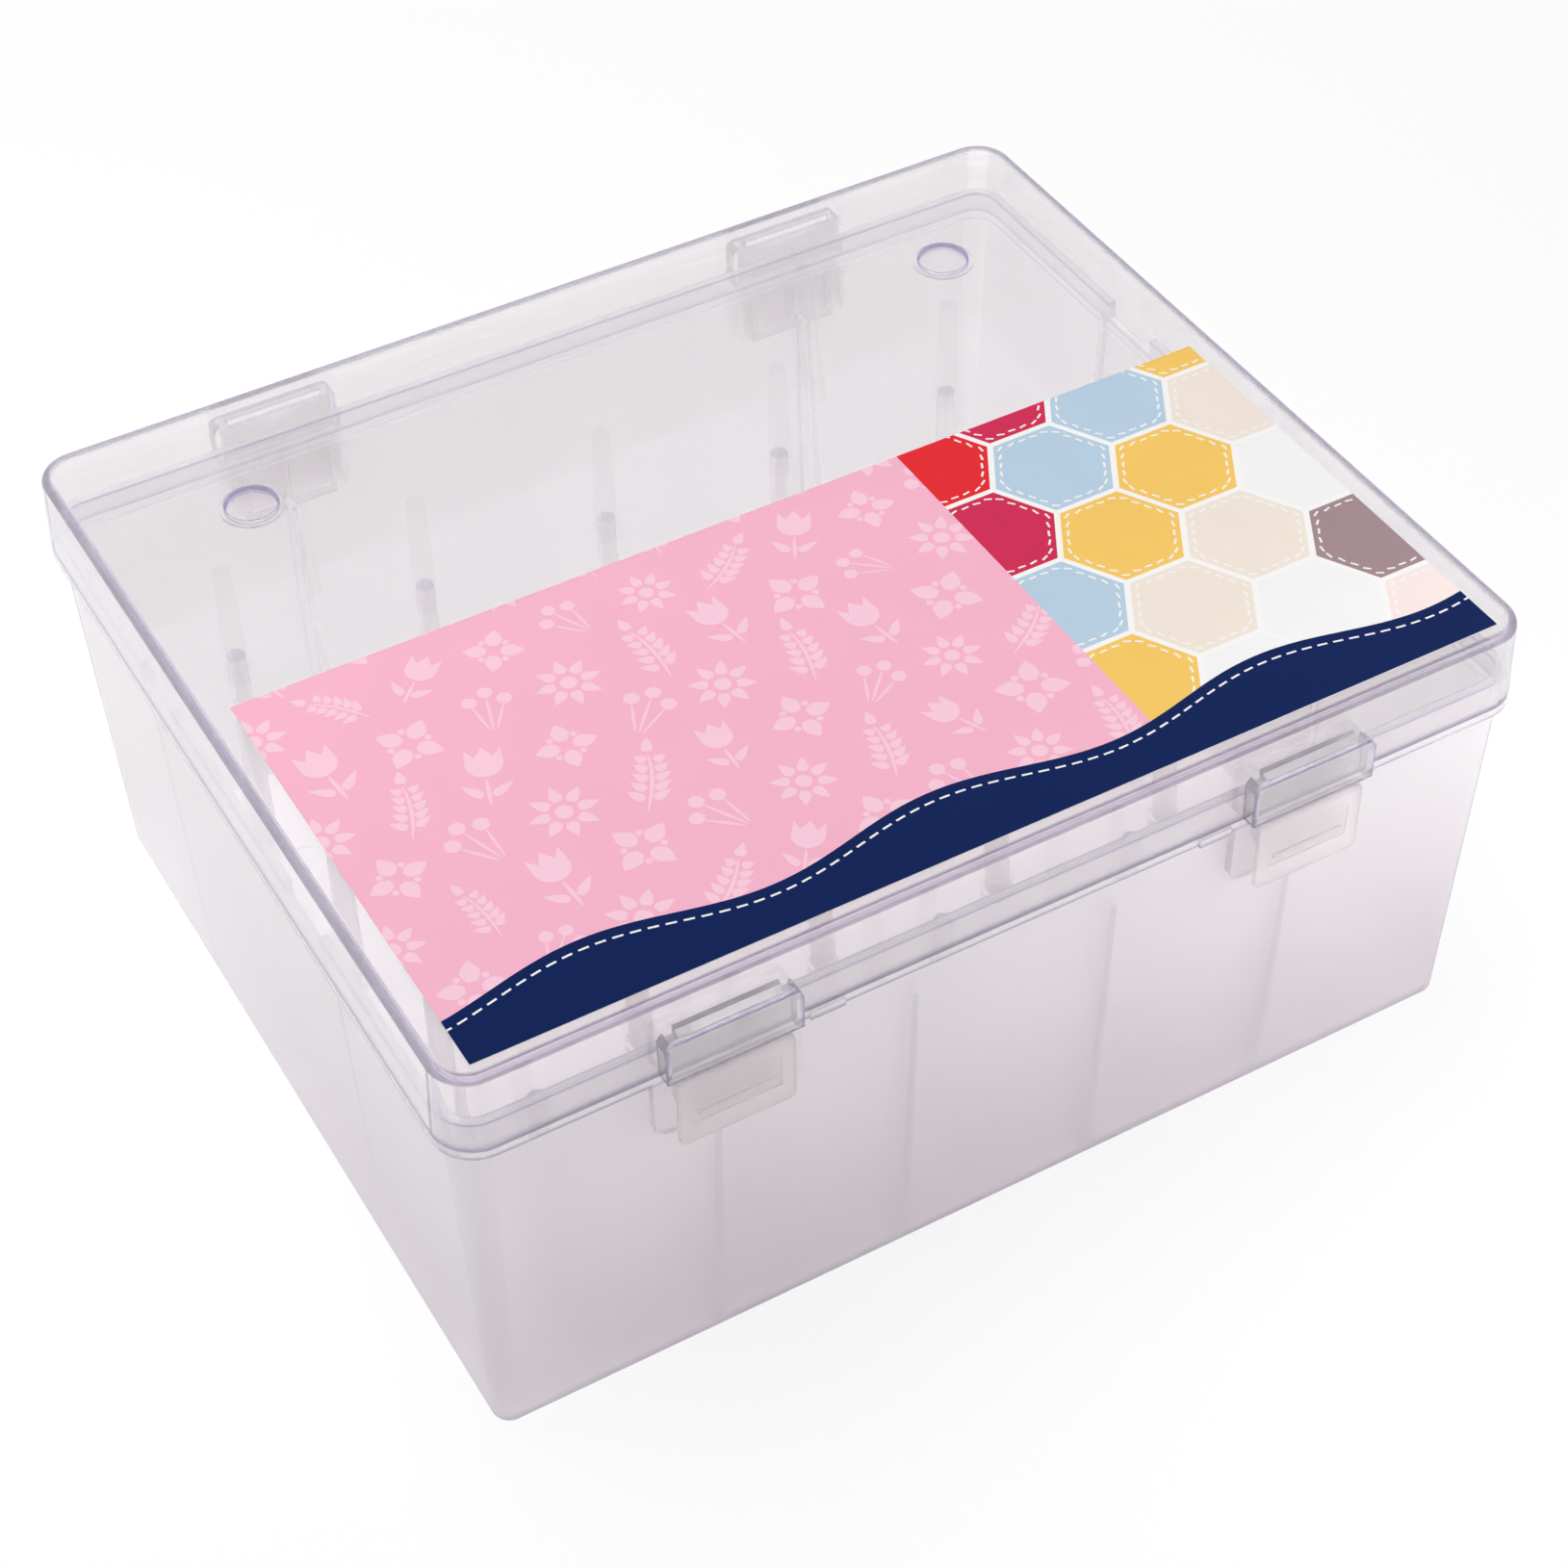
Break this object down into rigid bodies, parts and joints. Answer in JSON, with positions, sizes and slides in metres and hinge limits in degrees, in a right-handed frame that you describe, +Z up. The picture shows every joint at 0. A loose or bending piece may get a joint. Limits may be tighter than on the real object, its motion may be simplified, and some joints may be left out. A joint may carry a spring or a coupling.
{
  "type": "thread spool box",
  "caption": "Clear hinged storage box with rows of upright pegs for thread spools, a shallow lid with a printed card on top, rear hinge inserts and front latch flaps.",
  "frame": {"origin": "middle of the underside, on the plane that the four feet stand on", "axes": "+X along the length, to the right as seen from the latch side; +Y from the latch side to the hinge side; +Z up"},
  "size_m": [0.295, 0.2574, 0.1343],
  "materials": {
    "clear_tub": "clear polystyrene, fine satin walls, faint lilac at the edges",
    "clear_lid": "clear polystyrene, polished, faint lilac at the edges",
    "clear_peg": "clear polystyrene, polished",
    "natural_insert": "natural polypropylene, milky, fine satin",
    "printed_card": "printed card, satin varnish"
  },
  "bodies": {
    "base": {"base_box": "clear_tub", "hinge_insert_base_left": "natural_insert", "hinge_insert_base_right": "natural_insert", "peg_r1_c1": "clear_peg", "peg_r1_c2": "clear_peg", "peg_r1_c3": "clear_peg", "peg_r1_c4": "clear_peg", "peg_r1_c5": "clear_peg", "peg_r2_c1": "clear_peg", "peg_r2_c2": "clear_peg", "peg_r2_c3": "clear_peg", "peg_r2_c4": "clear_peg", "peg_r2_c5": "clear_peg", "peg_r3_c1": "clear_peg", "peg_r3_c2": "clear_peg", "peg_r3_c3": "clear_peg", "peg_r3_c4": "clear_peg", "peg_r3_c5": "clear_peg", "peg_r4_c1": "clear_peg", "peg_r4_c2": "clear_peg", "peg_r4_c3": "clear_peg", "peg_r4_c4": "clear_peg", "peg_r4_c5": "clear_peg"},
    "lid": {"lid_shell": "clear_lid", "label_card": "printed_card", "latch_insert_left": "natural_insert", "latch_insert_right": "natural_insert", "hinge_insert_lid_left": "natural_insert", "hinge_insert_lid_right": "natural_insert"},
    "latch_left": {"latch_flap_left": "natural_insert"},
    "latch_right": {"latch_flap_right": "natural_insert"}
  },
  "joints": [
    {"name": "lid_hinge", "type": "hinge", "parent": "base", "child": "lid", "pos_m": [0, 0.1264, 0.1096], "axis": [-1, 0, 0], "range_deg": [0, 105]},
    {"name": "latch_left_hinge", "type": "hinge", "parent": "lid", "child": "latch_left", "pos_m": [-0.079, -0.1264, 0.1096], "axis": [-1, 0, 0], "range_deg": [0, 55]},
    {"name": "latch_right_hinge", "type": "hinge", "parent": "lid", "child": "latch_right", "pos_m": [0.079, -0.1264, 0.1096], "axis": [-1, 0, 0], "range_deg": [0, 55]}
  ]
}
